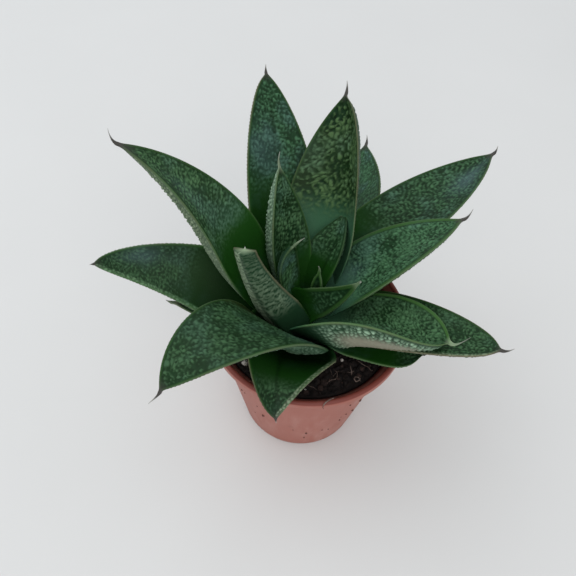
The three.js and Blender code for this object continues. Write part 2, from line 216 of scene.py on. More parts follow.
# Each leaf, the youngest first: its form, then its look
leaf_table = [
    dict(az=60, rise=85, length=10, width=3, foot=(1, -1, 55), thick=2, pinch=0.8,
         young=1, bright=0.8),
    dict(az=152, rise=74, bow=39, sweep=11, length=19, width=8, foot=(-4, 0, 55), roll=6, twist=-33,
         thick=3, peak=0.3, base=0.7, taper=0.8, awn=4.5, lift=0.1, pinch=0.8,
         smooth=0.05, pale=0.5, bloom=0.8, bright=0.2, line=0.5, young=1),
    dict(az=60, rise=64, bend=-41, bow=-13, length=22.5, width=12.5, foot=(-0.4, 3.8, 54.6),
         roll=-21, twist=-21, peak=0.45, base=0.65, ogive=2, taper=1.15, awn=1, lift=0.4, fold=0.7,
         crease=-0.3, pinch=0.6,
         smooth=0.3, pale=-0.1, bright=0.1, line=0.25, young=1, deep=0.2, dusk=0.2),
    dict(az=109, rise=68, bend=-20, bow=-5, sweep=2, length=34, width=13.5, foot=(-3.7, 2.8, 53.3),
         roll=23, twist=18, thick=4.5, channel=0.2, keel=0.75, stout=0.7,
         beads=0.35, faint=0.05, olive=0.4, side=0.72, cream=0.2, young=0.6, shade=0.1, deep=0.2),
    dict(az=344, rise=39, bend=18, bow=6, length=21, width=8, foot=(-2.3, -3.3, 54.2), roll=61,
         twist=6, peak=0.25, base=1.3, ogive=1, awn=3.5, lift=0.8, pinch=0.8,
         smooth=0.1, relief=0.1, pale=-0.3, olive=0.2, band=0.9, bright=0.5, line=0.7, young=1,
         shade=0.2),
    dict(az=172, rise=58, bow=22, length=29, width=12, foot=(-4.7, -5.3, 50.2), roll=95, twist=-11,
         keel=0, peak=0.25, base=0.9, ogive=1, taper=1.3, stub=0.45, awn=0.5,
         smooth=0.2, under_pale=0.42, wiggles=1, olive=0.8, side=-0.3, cream=0.5, young=1,
         brown=0.7),
    dict(az=87, rise=63, bend=-37, bow=4, sweep=-12, length=52.5, width=22, foot=(-0.5, 5.2, 52),
         roll=-16, twist=-36, thick=4.5, channel=0.5, cup=0.1, keel=0, peak=0.35, ogive=3,
         taper=0.75, lift=0.2, pinch=1.8,
         smooth=0.33, relief=0.3, pitch=1.55, faint=0, bloom=0.2, olive=0.8, base_pale=0.7, brown=1,
         line=0.7, shade=0.17),
    dict(az=16, rise=54, bend=-53, bow=10, sweep=5, length=43, width=19, foot=(3.2, 1.8, 52.4),
         twist=-23, base=0.7, ogive=2.2, taper=0.85, awn=2.5, lift=0.7, pinch=1.8,
         smooth=0.12, pale=0.6, faint=0.15, sheen=(0.22, 0.2, 0.3), olive=0.1, band=0.9,
         bright=0.55, base_pale=1),
    dict(az=154, rise=75, bend=-23, bow=-23, sweep=33, length=61.5, width=18,
         foot=(-11.3, 0.8, 49.4), roll=-9, twist=10, thick=4.5, channel=0.24, keel=0.75, base=0.45,
         ogive=1.5, lift=0.9,
         smooth=0.35, beads=0.4, sheen=(0.7, 0.2, 0.15), olive=0.4, side=0.72),
    dict(az=4, rise=55, bend=-91, bow=19, sweep=-36, length=43.5, width=23, foot=(-3, -6.1, 50.3),
         roll=-43, twist=23, thick=5.5, channel=0.5, cup=-0.1, keel=-0.15, peak=0.3, base=0.35,
         ogive=3.7, taper=0.75, awn=2.5, lift=1.2, curl=2.4, stout=1.5, teeth=1.8,
         smooth=0.2, beads=0.5, bead_pitch=1.3, pale=0.6, faint=0.15, under_pale=1.1, bloom=0.1,
         band=0.8, bright=0.8, blush=1, young=1, base_pale=0.6),
    dict(az=214, rise=72, bend=-41, bow=-89, sweep=13, length=55.5, width=23.5,
         foot=(-2.5, -8.9, 45.8), roll=30, twist=-36, channel=0.1, keel=0.2, peak=0.16, base=0.35,
         ogive=2.8, taper=1.05, awn=2, lift=1.2,
         smooth=0.1, slant=0.25, pitch=1.2, bloom=0.2, sheen=(0.25, 0.6, 0.25), tan=0.7,
         shade=0.35),
    dict(az=35, rise=39, bend=-56, bow=39, sweep=-2, length=60.5, width=21, foot=(1.9, 6, 51.6),
         roll=5, twist=-25, peak=0.42, base=0.75, ogive=2.5, taper=0.85, awn=1.5, lift=0.7,
         pinch=1.8,
         smooth=0.3, pitch=1.1, faint=0.1, sheen=(0.84, -0.25, 0.55), olive=0.2, shade=0.2),
    dict(az=105, rise=47, bend=-9, bow=-21, sweep=-2, length=62, width=20, foot=(-4, 5.7, 49),
         roll=1, twist=16, peak=0.34, taper=0.75, awn=2, fold=0.6,
         smooth=0.4, pitch=1.1, bloom=0.5, sheen=(0.66, 0.5, 0.2), olive=0, brown=0.6, line=1.5,
         shade=0.22, deep=0.2),
    dict(az=339, rise=31, bend=-35, bow=15, sweep=-5, length=48.5, width=19, foot=(4.1, 0.5, 46.8),
         roll=2, twist=-8, peak=0.32, taper=0.6, awn=2.5, lift=0.7,
         pitch=0.9, fringe=-0.9, cream=0.8, brown=1, line=1.3, shade=0.2, deep=0.2),
    dict(az=176, rise=39, bend=-44, bow=-13, length=52, width=17.5, foot=(-8.8, -0.5, 47.4),
         roll=-20, twist=-36, peak=0.4, ogive=1, taper=0.65, awn=1, pinch=0.4,
         smooth=0.42, pitch=0.85, pale=-0.05, sheen=(0.76, -0.45, 0.5), fringe=1.3, cream=0.2,
         shade=0.4, deep=0.42),
    dict(az=248, rise=48, bend=-84, bow=-38, sweep=24, length=32, width=25, foot=(-2, -6.3, 48.6),
         roll=-10, twist=-14, thick=3, channel=0.4, cup=0.15, keel=0.1, peak=0.24, base=0.8,
         ogive=1.3, awn=1, fold=0.5, pinch=0.4,
         smooth=0.6, relief=0.1, fringe=1.5, brown=0.8, shade=0.4, deep=0.5),
    dict(az=76, rise=18, bend=-7, length=51.5, width=22, foot=(3, 7, 48), roll=-36, peak=0.5,
         base=0.5, ogive=2.1, taper=1.15, awn=2.5,
         relief=0.08, faint=0.6, bloom=0.9, olive=0),
    dict(az=341, rise=15, bend=-19, length=28, width=15, foot=(4, -4.2, 48.1), roll=5, thick=3,
         ogive=3.6, taper=0.45, awn=0.5,
         smooth=0.7, bloom=0.6, shade=0.35),
    dict(az=183, rise=20, bend=-9, length=28.5, width=10, foot=(-9, -2, 45), thick=3, taper=1,
         awn=1.5,
         young=0.5, dry=0.3),
    dict(az=130, rise=18, bend=-8, length=34, width=14, foot=(-6, 5, 46), thick=3.5),
    dict(az=52, rise=17, bend=-8, length=30, width=13, foot=(5, 6, 46), thick=3.5),
]


# Meshes

def smoothstep(low, high, value):
    """0 at low, 1 at high and smooth between, also where low is the larger one."""
    share = np.clip((value - low) / (high - low), 0, 1)
    return share * share * (3 - 2 * share)


def read_off(at, steps, values):
    """Rows of values that belong to steps, read off at other places along the steps."""
    return np.stack([np.interp(at, steps, line) for line in np.asarray(values, float).T], -1)


def drawn_through(marks, count):
    """Points at even steps along a line drawn through marks."""
    return read_off(np.linspace(0, len(marks) - 1, count), np.arange(len(marks)), marks)


def new_mesh(name, points, faces):
    """A mesh from points in millimetres."""
    mesh = bpy.data.meshes.new(name)
    mesh.from_pydata((np.asarray(points) * MM).tolist(), [], faces)
    return mesh


def new_item(name, data):
    """An object of the scene, made from its mesh, lamp or camera data."""
    item = bpy.data.objects.new(name, data)
    bpy.context.scene.collection.objects.link(item)
    return item


def make_piece(name, points, faces, material, slot, replaces=None, masks=None):
    """A smooth piece that rides on the one body, with values on its points for its material."""
    mesh = new_mesh(name, points, faces)
    mesh.polygons.foreach_set("use_smooth", np.ones(len(mesh.polygons), bool))
    for mask, values in (masks or {}).items():
        attribute = mesh.attributes.new(mask, "FLOAT", "POINT")
        attribute.data.foreach_set("value", np.asarray(values, np.float32).ravel())
    mesh.materials.append(material)
    mesh.update()
    piece = new_item(name, mesh)
    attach(piece, "root")
    if replaces:
        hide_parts(replaces)
    return piece


def net_faces(rows, sides):
    """Quads of a net of points, one ring after another."""
    here = np.arange(rows * sides).reshape(rows, sides)
    beside = np.roll(here, -1, 1)
    quads = np.stack([here[:-1], beside[:-1], beside[1:], here[1:]], -1)
    return quads.reshape(-1, 4).tolist()


def tube_faces(rows, sides):
    """Quads round a tube of rings, and one face over either end."""
    last = (rows - 1) * sides
    return net_faces(rows, sides) + [list(range(sides))[::-1], list(range(last, last + sides))]


def turned_net(profile, sides):
    """Points and faces of [radius, height] points turned round Z, with a disc at either end."""
    turn = np.linspace(0, CIRCLE, sides, endpoint=False)
    profile = np.asarray(profile, float)
    radius, height = profile[:, :1], profile[:, 1:]
    points = np.stack([radius * np.cos(turn), radius * np.sin(turn), height * np.ones(sides)], -1)
    return points.reshape(-1, 3), tube_faces(len(profile), sides)


def joined(parts):
    """One list of points and one of faces from several pairs of them."""
    points, faces = [], []
    for part_points, part_faces in parts:
        faces += [[i + len(points) for i in face] for face in part_faces]
        points += part_points.tolist()
    return points, faces


# Materials

class Shader:
    """Short names for the nodes that the materials are made of."""

    def __init__(self, name, roughness=0.5, specular=0.5):
        self.material = bpy.data.materials.new(name)
        self.material.use_nodes = True
        self.nodes = self.material.node_tree.nodes
        self.links = self.material.node_tree.links
        self.surface = self.nodes["Principled BSDF"]
        self.surface.inputs["Roughness"].default_value = roughness
        self.surface.inputs["Specular IOR Level"].default_value = specular
        self.place = self.nodes.new("ShaderNodeTexCoord").outputs["Object"]

    def set(self, socket, value):
        """Link a node's output to the socket, or give it a number or a colour."""
        if isinstance(value, bpy.types.NodeSocket):
            self.links.new(value, socket)
        elif socket.type == "RGBA":
            socket.default_value = (*value, 1)
        else:
            socket.default_value = value

    def mask(self, name):
        node = self.nodes.new("ShaderNodeAttribute")
        node.attribute_name = name
        return node.outputs["Fac"]

    def axes(self):
        node = self.nodes.new("ShaderNodeSeparateXYZ")
        self.links.new(self.place, node.inputs[0])
        return node.outputs

    def noise(self, size, detail=3, rough=0.5, place=None):
        """Noise with blobs about size millimetres across, from 0 to 1."""
        node = self.nodes.new("ShaderNodeTexNoise")
        self.set(node.inputs["Vector"], place or self.place)
        node.inputs["Scale"].default_value = 1 / (size * MM)
        node.inputs["Detail"].default_value = detail
        node.inputs["Roughness"].default_value = rough
        return node.outputs["Fac"]

    def stretched(self, x, y, z):
        node = self.nodes.new("ShaderNodeMapping")
        self.links.new(self.place, node.inputs["Vector"])
        node.inputs["Scale"].default_value = (x, y, z)
        return node.outputs["Vector"]

    def ramp(self, value, low, high):
        """0 below low, 1 above high, smooth between."""
        node = self.nodes.new("ShaderNodeMapRange")
        node.interpolation_type = "SMOOTHSTEP"
        self.set(node.inputs["Value"], value)
        node.inputs["From Min"].default_value = low
        node.inputs["From Max"].default_value = high
        return node.outputs["Result"]

    def math(self, operation, a, b=0.0):
        node = self.nodes.new("ShaderNodeMath")
        node.operation = operation
        self.set(node.inputs[0], a)
        self.set(node.inputs[1], b)
        return node.outputs[0]

    def times(self, a, b):
        return self.math("MULTIPLY", a, b)

    def blend(self, share, a, b, kind="FLOAT"):
        """Number a turned into number b by share."""
        node = self.nodes.new("ShaderNodeMix")
        node.data_type = kind
        self.set(node.inputs["Factor"], share)
        self.set(node.inputs["A"], a)
        self.set(node.inputs["B"], b)
        return node.outputs["Result"]

    def mix(self, share, a, b):
        """Colour a turned into colour b by share."""
        return self.blend(share, a, b, "RGBA")

    def bump(self, value, depth, after=None):
        """Relief depth millimetres deep where value goes from 0 to 1."""
        node = self.nodes.new("ShaderNodeBump")
        node.inputs["Distance"].default_value = depth * MM
        self.set(node.inputs["Height"], value)
        if after:
            self.links.new(after, node.inputs["Normal"])
        return node.outputs["Normal"]

    def finish(self, colour, roughness=None, normal=None):
        for name, value in (("Base Color", colour), ("Roughness", roughness), ("Normal", normal)):
            if value is not None:
                self.set(self.surface.inputs[name], value)
        return self.material


# Leaf colours, from the green of the painted shade to the dead tip
PAINTED_SHADE_GREEN = (0.001, 0.009, 0.001)
DEEP_GREEN = (0.002, 0.014, 0.003)
MID_GREEN = (0.008, 0.036, 0.012)
OLIVE_GREEN = (0.014, 0.034, 0.006)
TUBERCLE_GREEN = (0.070, 0.185, 0.090)
TUBERCLE_OLIVE = (0.100, 0.175, 0.060)
BLOOM_BLUE = (0.095, 0.190, 0.175)
SHEEN_BLUE = (0.115, 0.195, 0.215)
BASE_GREEN = (0.010, 0.056, 0.006)
BASE_PALE = (0.058, 0.155, 0.090)
BASE_TAN = (0.040, 0.052, 0.014)
BAND_GREEN = (0.055, 0.145, 0.035)
UNDER_GREEN = (0.014, 0.045, 0.020)
UNDER_PALE = (0.330, 0.530, 0.370)
SIDE_CREAM = (0.240, 0.310, 0.200)
BLUSH = (0.300, 0.290, 0.220)
MARGIN_PALE = (0.100, 0.160, 0.080)
MARGIN_BROWN = (0.150, 0.130, 0.085)
AWN_BROWN = (0.062, 0.058, 0.052)
AWN_PALE = (0.330, 0.330, 0.300)
AWN_YOUNG = (0.240, 0.320, 0.200)
DRY_TAN = (0.330, 0.260, 0.175)

LEAF_MASKS = (
    "awn band base base_pale bloom blush bristle brown dry margin olive shade sheen side tan "
    "tubercle under young"
).split()


def leaf_skin():
    s = Shader("leaf_skin", roughness=0.5, specular=0.1)
    m = SimpleNamespace(**{name: s.mask(name) for name in LEAF_MASKS})
    patches = s.noise(9, detail=4)
    mottle = s.noise(1.6, detail=4, rough=0.6)
    grain = s.noise(0.35, detail=3, rough=0.7)
    # The ground between the tubercles
    ground = s.mix(s.ramp(mottle, 0.35, 0.7), DEEP_GREEN, MID_GREEN)
    ground = s.mix(s.times(m.olive, s.ramp(patches, 0.3, 0.7)), ground, OLIVE_GREEN)
    ground = s.mix(m.under, ground, UNDER_GREEN)
    base = s.mix(m.tan, s.mix(m.base_pale, BASE_GREEN, BASE_PALE), BASE_TAN)
    ground = s.mix(m.base, ground, base)
    ground = s.mix(m.band, ground, BAND_GREEN)
    # The tubercles
    raised = s.mix(m.olive, TUBERCLE_GREEN, TUBERCLE_OLIVE)
    raised = s.mix(s.times(m.bloom, s.ramp(patches, 0.45, 0.65)), raised, BLOOM_BLUE)
    raised = s.mix(m.under, raised, s.mix(m.olive, UNDER_PALE, SIDE_CREAM))
    raised = s.mix(m.side, raised, SIDE_CREAM)
    uneven = s.times(s.blend(grain, 0.75, 1.2), s.blend(s.noise(3, detail=2), 0.75, 1.2))
    colour = s.mix(s.times(m.tubercle, uneven), ground, raised)
    # Wax, a painted sheen, the bare keel, the margins, the tip and the painted shade
    waxy = s.times(m.bloom, s.times(s.ramp(patches, 0.5, 0.75), 0.35))
    colour = s.mix(waxy, colour, BLOOM_BLUE)
    # painted reflection: a bluish sheen patch on the upper face
    colour = s.mix(s.times(m.sheen, s.blend(mottle, 0.5, 1.0)), colour, SHEEN_BLUE)
    colour = s.mix(m.blush, colour, BLUSH)
    browned = s.math("ADD", m.brown, s.math("SUBTRACT", s.noise(4), 0.5))
    colour = s.mix(m.margin, colour, s.mix(s.ramp(browned, 0.2, 0.8), MARGIN_PALE, MARGIN_BROWN))
    colour = s.mix(m.dry, colour, s.mix(s.ramp(mottle, 0.4, 0.6), DRY_TAN, AWN_BROWN))
    bristle = s.mix(m.bristle, s.mix(m.young, AWN_BROWN, AWN_YOUNG), AWN_PALE)
    colour = s.mix(m.awn, colour, bristle)
    # painted shade: the upper face turned towards a near-black green
    colour = s.mix(m.shade, colour, PAINTED_SHADE_GREEN)
    return s.finish(colour, s.blend(m.tubercle, 0.42, 0.55), s.bump(grain, 0.05))


# The pot's plastic: its rim darkens between the two depths of RIM_FADE under its top, and its inner
# face is as dark as the rim
PLASTIC = (0.335, 0.110, 0.080)
PLASTIC_DEEP = (0.115, 0.014, 0.008)
DUST = (0.430, 0.215, 0.180)
STAIN = (0.120, 0.060, 0.045)
RIM_FADE = (0.9, 0.3)
SIDE_CHANGE = 0.2


def pot_plastic():
    s = Shader("pot_plastic", specular=0.35)
    x, y, z = s.axes()
    cloud = s.noise(14, detail=5, rough=0.6)
    streaks = s.noise(3, detail=4, place=s.stretched(1, 1, 0.18))
    grain = s.noise(0.3, detail=2)
    lip = s.ramp(z, *((POT_HEIGHT - depth) * MM for depth in RIM_FADE))
    out = s.math("POWER", s.math("ADD", s.times(x, x), s.times(y, y)), 0.5)
    # How far the point stands outside the middle of the wall, which leans by the pot's taper
    taper = (WALL_TOP_RADIUS - BASE_RADIUS) / (POT_HEIGHT - LIP_HEIGHT)
    middle = s.math("ADD", s.times(z, taper), (BASE_RADIUS - WALL / 2) * MM)
    outside = s.ramp(s.math("SUBTRACT", out, middle), -SIDE_CHANGE * MM, SIDE_CHANGE * MM)
    dust = s.times(s.ramp(cloud, 0.35, 0.75), s.math("SUBTRACT", 1.0, lip))
    colour = s.mix(s.ramp(streaks, 0.3, 0.75), PLASTIC, DUST)
    colour = s.mix(s.times(dust, outside), PLASTIC, colour)
    colour = s.mix(s.times(lip, 0.8), colour, PLASTIC_DEEP)
    colour = s.mix(outside, PLASTIC_DEEP, colour)
    stain = s.times(s.ramp(s.noise(5, detail=6, rough=0.7), 0.62, 0.75), outside)
    colour = s.mix(s.times(stain, 0.25), colour, STAIN)
    normal = s.bump(grain, 0.02, s.bump(streaks, 0.08))
    return s.finish(colour, s.blend(cloud, 0.42, 0.62), normal)


def earth(name, dark, light, size, depth, roughness=0.9):
    """A lumpy matte material: size is that of its lumps and depth that of its grain."""
    s = Shader(name, roughness=roughness, specular=0.25)
    lumps = s.noise(size, detail=6, rough=0.65)
    grain = s.noise(size / 5, detail=4, rough=0.7)
    tone = s.ramp(s.times(lumps, s.math("ADD", grain, 0.5)), 0.35, 0.75)
    colour = s.mix(tone, dark, light)
    return s.finish(colour, s.blend(grain, roughness - 0.15, roughness), s.bump(grain, depth))


skin = leaf_skin()
plastic = pot_plastic()
peat = earth("peat", (0.003, 0.002, 0.002), (0.015, 0.009, 0.007), 1.5, 0.2)
bark = earth("bark", (0.010, 0.006, 0.005), (0.060, 0.034, 0.027), 1.0, 0.15)
smear = earth("smear", (0.070, 0.032, 0.024), (0.190, 0.090, 0.070), 0.6, 0.1)
perlite = earth("perlite", (0.330, 0.300, 0.270), (0.640, 0.610, 0.570), 0.8, 0.12)
fibre = earth("fibre", (0.060, 0.038, 0.030), (0.260, 0.200, 0.170), 1.5, 0.04)
crown = earth("crown", (0.120, 0.140, 0.060), (0.300, 0.310, 0.180), 1.2, 0.1, roughness=0.7)


# Leaves

def leaf_path(leaf, share):
    """Points, headings and level directions along a leaf's middle, at shares of its length."""
    steps = np.linspace(0, 1, PATH_STEPS + 1)
    rise = np.radians(leaf.rise + leaf.bend * steps + leaf.bow * steps ** 2)
    az = np.radians(leaf.az + leaf.sweep * steps)
    ahead = np.stack([np.cos(rise) * np.cos(az), np.cos(rise) * np.sin(az), np.sin(rise)], -1)
    level = np.stack([-np.sin(az), np.cos(az), np.zeros_like(az)], -1)
    moves = ahead * leaf.length / PATH_STEPS
    moves[0] = 0
    points = np.array(leaf.foot) + np.cumsum(moves, 0)
    return [read_off(share, steps, values) for values in (points, ahead, level)]


def half_width(leaf, share):
    """Half the blade's width, which grows from the base to the peak and then narrows to the tip."""
    climb = np.sin(np.clip(share / leaf.peak, 0, 1) * math.pi / 2)
    lower = leaf.base + (1 - leaf.base) * climb
    past = np.clip((share - leaf.peak) / (1 - leaf.peak), 0, 1)
    upper = leaf.stub + (1 - leaf.stub) * (1 - past ** leaf.ogive) ** leaf.taper
    return leaf.width / 2 * np.where(share < leaf.peak, lower, upper)


def leaf_rows(leaf):
    """Rows from the hidden root to the end of the bristle: where each is, its frame and its sizes.
    back goes from -1 to 0 along the root and on from 0 to 1 along the bristle."""
    count = int(leaf.length / CELL)
    body = 1 - (1 - np.arange(count + 1) / count) ** STEP_TO_TIP
    share = np.concatenate([np.zeros(ROOT_ROWS), body, np.ones(AWN_ROWS)])
    back = np.pad(np.linspace(-1, 0, ROOT_ROWS + 1)[:-1], (0, len(body) + AWN_ROWS))
    on = np.pad(np.linspace(0, 1, AWN_ROWS + 1)[1:], (ROOT_ROWS + len(body), 0))
    place, ahead, level = leaf_path(leaf, share)
    share, back, on = share[:, None], back[:, None], on[:, None]
    # Place and frame
    upright = np.cross(ahead, level)
    roll = np.radians(leaf.roll + leaf.twist * share)
    left = level * np.cos(roll) + upright * np.sin(roll)
    up = upright * np.cos(roll) - level * np.sin(roll)
    place = place + ahead * (back * ROOT + on * leaf.awn)
    place = place + up * (leaf.awn * leaf.lift * on ** 2)
    place[:, 2:] += leaf.curl * on ** 2
    # Sizes
    bristle_half = (AWN_HALF + (AWN_END - AWN_HALF) * on ** AWN_POWER) * leaf.stout
    blade = half_width(leaf, share) * (1 + back * (1 - ROOT_SLIM)) * (on == 0)
    if not leaf.stub:
        to_tip = (1 - share) * leaf.length
        blade = blade * to_tip ** 2 / (to_tip ** 2 + leaf.pinch ** 2)
    half = (blade ** AWN_BLEND + bristle_half ** AWN_BLEND) ** (1 / AWN_BLEND)
    thickness = leaf.thick * (1 - TIP_SLIM * share) * (half / (leaf.width / 2)) ** SLIM_POWER
    edge = np.minimum(EDGE, 2 * bristle_half)
    thickness = np.where(on > 0, edge, np.maximum(thickness, edge))
    channel = leaf.channel + leaf.cup * (1 - share) ** 2
    hollow = channel * half * (1 - smoothstep(0, HOLLOW_FADE, on))
    along = back * ROOT + share * leaf.length + on * leaf.awn
    return SimpleNamespace(place=place, left=left, up=up, share=share, along=along, on=on,
                           half=half, thickness=thickness, edge=edge, hollow=hollow)


def section(leaf, across):
    """How deep the hollow and the ridge underneath are across a leaf, each from 0 to 1."""
    keel, crease = leaf.keel, leaf.crease
    side = np.where(across > keel, 1 - keel, 1 + keel)
    from_keel = np.hypot(np.abs(across - keel) / side, KEEL_ROUND) - KEEL_ROUND
    ridge = np.clip(1 - from_keel / (math.hypot(1, KEEL_ROUND) - KEEL_ROUND), 0, 1) ** KEEL_POWER
    side = np.where(across > crease, 1 - crease, 1 + crease)
    creased = np.clip(1 - np.hypot((across - crease) / side, CREASE_ROUND) + CREASE_ROUND, 0, 1)
    hollow = (1 - across ** 2) * (1 - leaf.fold) + creased * leaf.fold
    return hollow, ridge


def even_columns(leaf, columns, under):
    """Columns spaced evenly round the widest section of one face: where each is across the leaf,
    how far round from the middle and from the nearer margin, as shares of half the width."""
    fine = np.linspace(-1, 1, FACE_STEPS + 1)
    hollow, ridge = section(leaf, fine)
    thickness = leaf.thick * (1 - TIP_SLIM * leaf.peak)
    depth = (EDGE + (thickness - EDGE) * ridge) / (leaf.width / 2)
    height = -leaf.channel * hollow - depth * under
    round_face = np.concatenate([[0], np.cumsum(np.hypot(np.diff(fine), np.diff(height)))])
    at = np.linspace(0, round_face[-1], columns + 1)
    across = np.interp(at, round_face, fine)
    across[0], across[-1] = -1, 1
    return across, at - np.interp(0, fine, round_face), np.minimum(at, round_face[-1] - at)


def leaf_net(leaf, rows, columns, seed):
    """The leaf's net without its relief: round it go the upper face, the left edge, the face
    underneath and the right edge. wide is how far a point is from the middle of its face and inset
    how far from the margin, in millimetres."""
    top = even_columns(leaf, columns, under=0)
    below = even_columns(leaf, columns, under=1)
    across, wide, inset = (
        np.concatenate([above, [above[-1]], beneath[::-1], [above[0]]])[None]
        for above, beneath in zip(top, below)
    )
    face = np.concatenate([np.ones(columns + 1), [0], -np.ones(columns + 1), [0]])[None]
    under, rim = face < 0, face == 0
    dip, ridge = section(leaf, across)
    depth = rows.edge + (rows.thickness - rows.edge) * ridge
    height = -rows.hollow * dip - np.where(under, depth, np.where(rim, rows.edge / 2, 0))
    draw = np.random.default_rng(seed)
    wander = draw.uniform(0, 1, rows.along.shape) * TOOTH_WANDER
    teeth = np.abs((rows.along / TOOTH_PITCH + wander) % 1 - 0.5) * 2
    tooth = rim * leaf.teeth * (TOOTH_LOW + TOOTH_RISE * teeth)
    tooth = tooth * np.minimum(rows.half / TOOTH_FULL, 1)
    lateral = across * rows.half + np.sign(across) * tooth
    points = rows.place[:, None] + rows.left[:, None] * lateral[..., None]
    points = points + rows.up[:, None] * height[..., None]
    return SimpleNamespace(points=points, across=across, wide=wide * rows.half,
                           inset=inset * rows.half, under=under, rim=rim)


def leaf_faces(count, columns):
    """Faces round the leaf's net, and over its ends from the upper face straight down."""
    around = 2 * columns + 4
    faces = [face[::-1] for face in net_faces(count, around)]
    for start, order in ((0, -1), ((count - 1) * around, 1)):
        for i in range(columns):
            below = start + 2 * columns + 2 - i
            faces.append([start + i, below, below - 1, start + i + 1][::order])
        faces.append([start, start + around - 1, start + 2 * columns + 2][::order])
        faces.append([start + columns, start + columns + 2, start + columns + 1][::order])
    return faces


def grid_normals(points):
    """Outward normals of a leaf's net of points, rows by columns."""
    around = np.roll(points, -1, 1) - np.roll(points, 1, 1)
    normal = np.cross(np.gradient(points, axis=0), around)
    return normal / np.maximum(np.linalg.norm(normal, axis=-1, keepdims=True), 1e-9)


# Waves and a repeating grid of spots. WAVE_RANGE is how far wave lengths vary, SPOT_PLACE where in
# its cell a spot's middle is, SPOT_SLOPE its way down and FAR more than the distance to any spot.
WAVES = 40
WAVE_SPREAD = 1.1
WAVE_RANGE = (0.65, 1.6)
SPOT_GRID = 64
SPOT_PLACE = (0.1, 0.9)
SPOT_SPREAD = 0.8
SPOT_SLOPE = (0.45, 0.9)
SPOT_SEAM = 0.05
NEIGHBOURS = range(-2, 3)
FAR = 9.0


def worms(across, along, seed, pitch, spread=WAVE_SPREAD):
    """A maze of short ridges: many waves of nearly one length, about 0 on average."""
    draw = np.random.default_rng(seed)
    total = np.zeros(np.broadcast(across, along).shape)
    for _ in range(WAVES):
        turn = draw.normal(0, spread)
        number = CIRCLE / (pitch * draw.uniform(*WAVE_RANGE))
        start = draw.uniform(0, CIRCLE)
        total += np.cos(number * (along * math.cos(turn) + across * math.sin(turn)) + start)
    return total / math.sqrt(WAVES / 2)


def spots(across, along, seed, pitch, drawn=1.0, gap=SPOT_GAP):
    """Raised spots, each drawn out its own way, mostly across: how far up each point is, and a tone
    from 0 to 1 for its spot. gap is how wide the way down between two of them is."""
    draw = np.random.default_rng(seed)
    grid = (SPOT_GRID, SPOT_GRID)
    middle = draw.uniform(*SPOT_PLACE, (*grid, 2))
    tones = draw.uniform(0, 1, grid)
    turns = draw.normal(0, SPOT_SPREAD, grid)
    longer = np.sqrt(draw.uniform(1, drawn, grid))
    u, v = across / pitch, along / pitch
    column, row = np.floor(u).astype(int), np.floor(v).astype(int)
    near = np.full(u.shape, FAR)
    second = np.full(u.shape, FAR)
    tone = np.zeros(u.shape)
    for step_u in NEIGHBOURS:
        for step_v in NEIGHBOURS:
            a, b = (column + step_u) % SPOT_GRID, (row + step_v) % SPOT_GRID
            off_u = u - column - step_u - middle[a, b, 0]
            off_v = v - row - step_v - middle[a, b, 1]
            turn, stretch = turns[a, b], longer[a, b]
            away = np.hypot(
                (off_u * np.cos(turn) + off_v * np.sin(turn)) / stretch,
                (off_v * np.cos(turn) - off_u * np.sin(turn)) * stretch,
            )
            closer = away < near
            second = np.where(closer, near, np.minimum(second, away))
            tone = np.where(closer, tones[a, b], tone)
            near = np.where(closer, away, near)
    return smoothstep(SPOT_SEAM, gap, second - near) * (1 - smoothstep(*SPOT_SLOPE, near)), tone


def patterns(number, leaf, wide, along):
    """Tubercles of the upper face, which are long spots that show in a maze of rows, and those
    underneath, which are beads or wavy ridges: how far up each point is, and its tint."""
    warped = along + WANDER * np.sin(along * WANDER_ALONG + wide * WANDER_ACROSS + number)
    place = wide + PATTERN_SHIFT, warped + PATTERN_SHIFT
    maze = worms(wide, warped, MAZE_SEED + number, leaf.pitch)
    full, tone = spots(*place, SPOT_SEED + number, leaf.pitch * SPOT_PITCH, SPOT_LENGTH)
    drift = worms(wide, along, DRIFT_SEED + number, DRIFT_PITCH) * DRIFT_DEPTH
    shown = smoothstep(*COVER_SPAN, maze + COVER_TONE * (tone - 0.5) + leaf.pale + drift)
    raised = shown * (0.35 + 0.65 * full)
    tint = raised * (0.65 + 0.35 * tone) * (1 - 0.5 * leaf.faint) + leaf.faint * 0.3
    beads, tone = spots(*place, BEAD_SEED + number, leaf.bead_pitch, BEAD_LENGTH, BEAD_GAP)
    if leaf.wiggles:
        lines = worms(wide, warped, LINE_SEED + number, leaf.bead_pitch, LINE_SPREAD)
        beads = smoothstep(*LINE_SPAN, lines + LINE_TONE * (tone - 0.5))
    return raised, tint, beads, beads * (0.55 + 0.45 * tone)


def pale_bands(leaf, rows, net):
    """How far each point is in the pale band underneath and in the one along a margin above."""
    begins = abs(leaf.side)
    side = smoothstep(begins - SIDE_FADE, begins + SIDE_FADE, net.across * np.sign(leaf.side))
    wide = abs(leaf.fringe)
    fringe = smoothstep(wide, wide * 0.7 - 0.01, net.inset) * (net.across * leaf.fringe > 0)
    fringe = fringe * ~net.under * smoothstep(*MARGIN_LENGTH, rows.share)
    return side * net.under * (begins > 0), fringe


def painted_sheen(leaf, rows, net):
    """A painted reflection: a patch of bluish sheen on the upper face."""
    share, across, strength = leaf.sheen
    patch = strength * np.exp(-((rows.share - share) / SHEEN_LENGTH) ** 2)
    return patch * np.exp(-((net.across - across) / SHEEN_WIDTH) ** 2) * ~net.under


def painted_shade(leaf, rows, net):
    """Painted shade on the upper face: all of it, its base, left of the crease and in the crease.
    """
    left_half = smoothstep(leaf.crease - CREASE_FADE, leaf.crease + CREASE_FADE, net.across)
    crease_shade = np.exp(-((net.across - leaf.crease) / CREASE_WIDTH) ** 2) * 0.5 * leaf.fold
    shade = leaf.shade + leaf.deep * smoothstep(*DEEP_LENGTH, rows.share)
    shade = np.clip(shade + leaf.dusk * left_half + crease_shade, 0, DARKEST_SHADE)
    return shade * ~net.under * smoothstep(*SHADE_INSET, net.inset)


